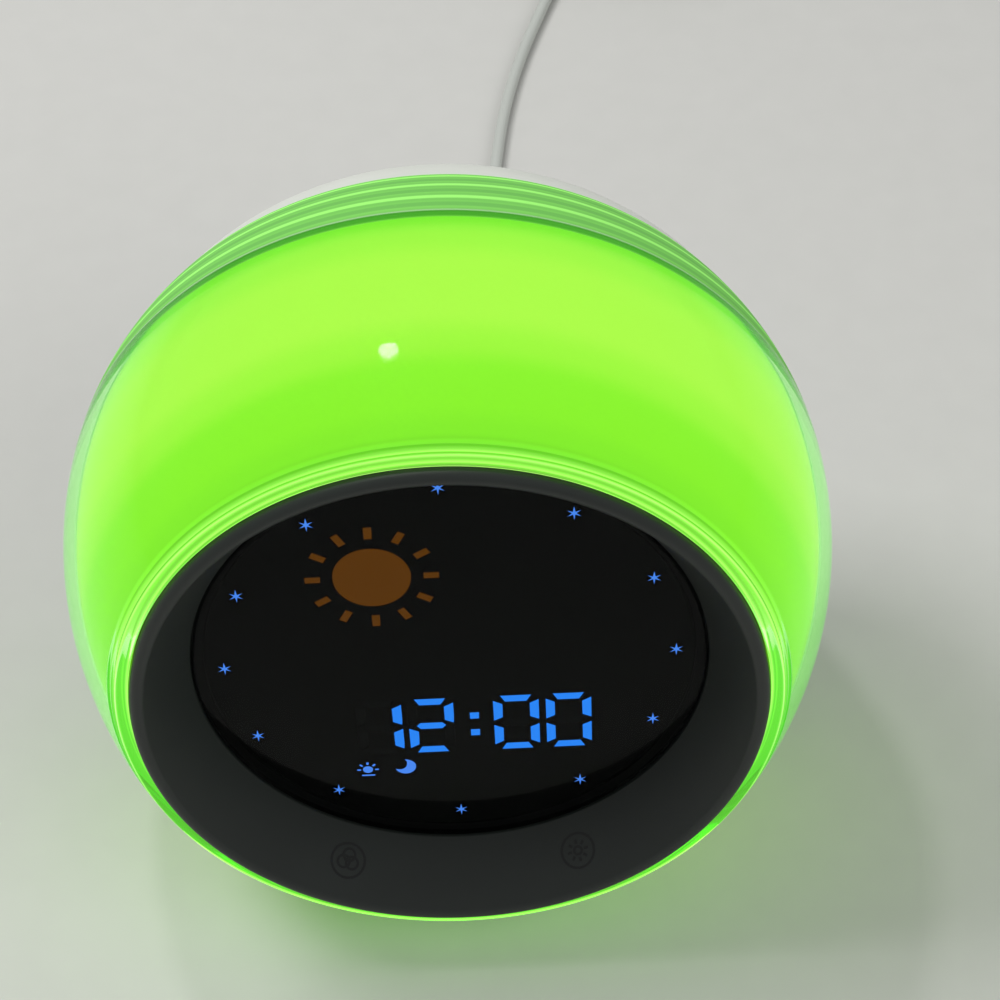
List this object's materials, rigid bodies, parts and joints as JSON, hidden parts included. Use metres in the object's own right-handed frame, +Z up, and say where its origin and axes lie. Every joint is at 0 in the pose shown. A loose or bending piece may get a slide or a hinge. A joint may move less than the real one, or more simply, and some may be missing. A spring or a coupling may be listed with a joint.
{
  "type": "kids alarm clock with night light",
  "caption": "Round bedside alarm clock: glowing ball night light with a dished front display, rear push buttons, flat base and thin supply lead.",
  "frame": {"origin": "on the floor under the middle of the clock body, without its lead", "axes": "+X right and -Y forward as seen from behind the display looking out, so the display faces -Y; +Z up from the foot ring"},
  "size_m": [0.1908, 0.3584, 0.1333],
  "materials": {
    "clear_pmma": "clear moulded PMMA, polished",
    "opal_diffuser": "opal polycarbonate, lit green from inside",
    "frosted_light_ring": "frosted ribbed light ring",
    "bezel_grey_abs": "fine-textured grey ABS",
    "smoked_lens": "smoked PMMA disc",
    "adhesive_black": "foam adhesive ring",
    "black_light_mask": "black moulded light-cup plate",
    "blue_light_guide": "frosted window, lit blue",
    "amber_light_guide": "frosted window, lit dim amber",
    "green_circuit_board": "solder-masked circuit board",
    "white_circuit_board": "white solder-masked circuit board",
    "led_package": "LED packages",
    "zinc_steel": "zinc-plated screws",
    "copper_foil": "copper sensing foil",
    "white_reflector_abs": "white moulded ABS",
    "component_black": "moulded component bodies",
    "cover_white_abs": "fine-textured off-white ABS",
    "button_white_abs": "off-white ABS push caps",
    "speaker_steel": "pressed steel basket",
    "speaker_paper": "pressed paper cone",
    "speaker_ferrite": "ferrite magnet",
    "lead_white_pvc": "satin off-white PVC",
    "tie_black": "black tie",
    "nickel_shell": "nickel-plated steel",
    "tongue_plastic": "plug tongue",
    "silicone_foot": "soft silicone anti-slip ring"
  },
  "bodies": {
    "housing": {"back_cover": "cover_white_abs", "base_plate": "cover_white_abs", "base_screws": "zinc_steel", "battery_door": "cover_white_abs", "battery_door_screw": "zinc_steel", "bezel_screws": "zinc_steel", "board_parts": "component_black", "board_screws": "zinc_steel", "button_board": "green_circuit_board", "button_switches": "component_black", "chassis": "white_reflector_abs", "clear_shell": "clear_pmma", "coin_cell": "nickel_shell", "coin_cell_holder": "component_black", "colon_dots": "blue_light_guide", "cord_tie": "tie_black", "cover_screws": "zinc_steel", "dc_plug": "lead_white_pvc", "dc_strain_relief": "lead_white_pvc", "digit_segments": "blue_light_guide", "display_board": "green_circuit_board", "display_leds": "led_package", "display_lens": "smoked_lens", "display_mask": "black_light_mask", "display_screws": "zinc_steel", "drum_screws": "zinc_steel", "foot_ring": "silicone_foot", "front_bezel": "bezel_grey_abs", "inner_diffuser": "opal_diffuser", "lens_gasket": "adhesive_black", "main_board": "green_circuit_board", "power_cord": "lead_white_pvc", "power_cord_coil": "lead_white_pvc", "power_cord_tail": "lead_white_pvc", "power_socket": "component_black", "reflector_drum": "white_reflector_abs", "ridged_ring": "frosted_light_ring", "ring_board": "white_circuit_board", "ring_leds": "led_package", "speaker_cone": "speaker_paper", "speaker_frame": "speaker_steel", "speaker_magnet": "speaker_ferrite", "star_markers": "blue_light_guide", "status_icons": "blue_light_guide", "sun_window": "amber_light_guide", "touch_pads": "copper_foil", "usb_plug_body": "lead_white_pvc", "usb_plug_shell": "nickel_shell", "usb_plug_tongue": "tongue_plastic", "usb_strain_relief": "lead_white_pvc"},
    "mode_button": {"mode_button": "button_white_abs"},
    "minus_button": {"minus_button": "button_white_abs"},
    "plus_button": {"plus_button": "button_white_abs"},
    "alarm_button": {"alarm_button": "button_white_abs"},
    "light_button": {"light_button": "button_white_abs"}
  },
  "joints": [
    {"name": "mode_button_press", "type": "slide", "parent": "housing", "child": "mode_button", "axis": [0, -0.9848, 0.1736], "range_m": [0, 0.0007], "stiffness_N_per_m": 1000, "springref_m": -0.0005},
    {"name": "minus_button_press", "type": "slide", "parent": "housing", "child": "minus_button", "axis": [0, -0.9848, 0.1736], "range_m": [0, 0.0007], "stiffness_N_per_m": 1000, "springref_m": -0.0005},
    {"name": "plus_button_press", "type": "slide", "parent": "housing", "child": "plus_button", "axis": [0, -0.9848, 0.1736], "range_m": [0, 0.0007], "stiffness_N_per_m": 1000, "springref_m": -0.0005},
    {"name": "alarm_button_press", "type": "slide", "parent": "housing", "child": "alarm_button", "axis": [0, -0.9848, 0.1736], "range_m": [0, 0.0007], "stiffness_N_per_m": 1000, "springref_m": -0.0005},
    {"name": "light_button_press", "type": "slide", "parent": "housing", "child": "light_button", "axis": [0, -0.9848, 0.1736], "range_m": [0, 0.0007], "stiffness_N_per_m": 1000, "springref_m": -0.0005}
  ]
}
